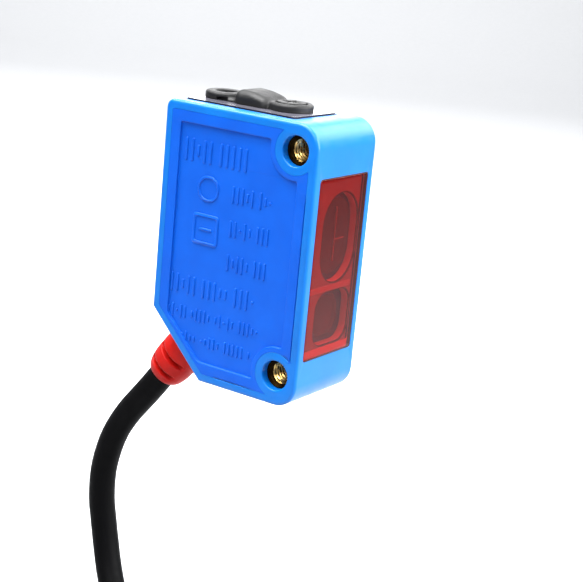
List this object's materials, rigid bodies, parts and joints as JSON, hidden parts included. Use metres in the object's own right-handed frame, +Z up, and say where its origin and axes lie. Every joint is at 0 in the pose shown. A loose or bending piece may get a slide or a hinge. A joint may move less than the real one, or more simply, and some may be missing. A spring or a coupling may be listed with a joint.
{
  "type": "photoelectric sensor",
  "caption": "Miniature diffuse photoelectric sensor: blue box with red front window, top adjusters, threaded side holes and a pre-wired cable from a slanted lower corner.",
  "frame": {"origin": "midway between the two threaded mounting holes, at mid-width", "axes": "+Z up, -Y is the direction of the light beam out of the red window, -X is the labelled side cover; the mounting holes run along X"},
  "size_m": [0.016, 0.0544, 0.1306],
  "materials": {
    "housing_blue": "moulded, satin gloss",
    "brass": "machined",
    "window_red": "transparent red, polished",
    "lens_clear": "clear, polished",
    "black_rubber": "matte",
    "black_plastic": "fine matte",
    "smoked_panel": "smoked, polished",
    "bezel_black": "soft matte",
    "relief_red": "soft satin",
    "cable_black": "satin PVC",
    "wire_brown": "PVC",
    "wire_black": "PVC",
    "wire_blue": "PVC",
    "board_green": "solder mask",
    "component_black": "moulded",
    "ceramic": "ceramic",
    "steel_can": "tinned sheet",
    "flex_film": "polyimide film",
    "led_orange": "LED",
    "led_green": "LED",
    "led_red": "LED",
    "guide_clear": "clear",
    "white_plastic": "moulded",
    "trimmer_blue": "moulded",
    "switch_grey": "moulded"
  },
  "bodies": {
    "sensor_body": {"main_housing": "housing_blue", "side_cover": "housing_blue", "upper_insert": "brass", "lower_insert": "brass", "front_window": "window_red", "window_seal": "white_plastic", "lens_holder": "black_plastic", "receiver_lens": "lens_clear", "emitter_lens": "lens_clear", "optics_board": "board_green", "photodiode": "component_black", "emitter_led": "led_red", "shield_can": "steel_can", "main_pcb": "board_green", "sensor_asic": "component_black", "output_transistor": "component_black", "voltage_regulator": "component_black", "capacitors": "ceramic", "board_flex": "flex_film", "control_pcb": "board_green", "led_orange": "led_orange", "led_green": "led_green", "light_guide": "guide_clear", "top_panel": "smoked_panel", "panel_seal": "black_rubber", "control_bezel": "bezel_black", "shaft_seals": "black_rubber", "trimmer_body": "trimmer_blue", "switch_body": "switch_grey", "strain_relief": "relief_red", "cable": "cable_black", "cable_coil": "cable_black", "coil_ties": "black_plastic", "core_brown": "wire_brown", "core_black": "wire_black", "core_blue": "wire_blue", "lead_brown": "wire_brown", "lead_black": "wire_black", "lead_blue": "wire_blue"},
    "distance_adjuster": {"distance_knob": "bezel_black", "trimmer_rotor": "white_plastic"},
    "mode_selector": {"selector_knob": "bezel_black", "switch_rotor": "white_plastic"}
  },
  "joints": [
    {"name": "distance_turn", "type": "hinge", "parent": "sensor_body", "child": "distance_adjuster", "pos_m": [0, 0.0051, 0.0168], "axis": [0, 0, 1], "range_deg": [-135, 135]},
    {"name": "mode_turn", "type": "hinge", "parent": "sensor_body", "child": "mode_selector", "pos_m": [0, 0.0142, 0.0161], "axis": [0, 0, 1], "range_deg": [-90, 90]}
  ]
}
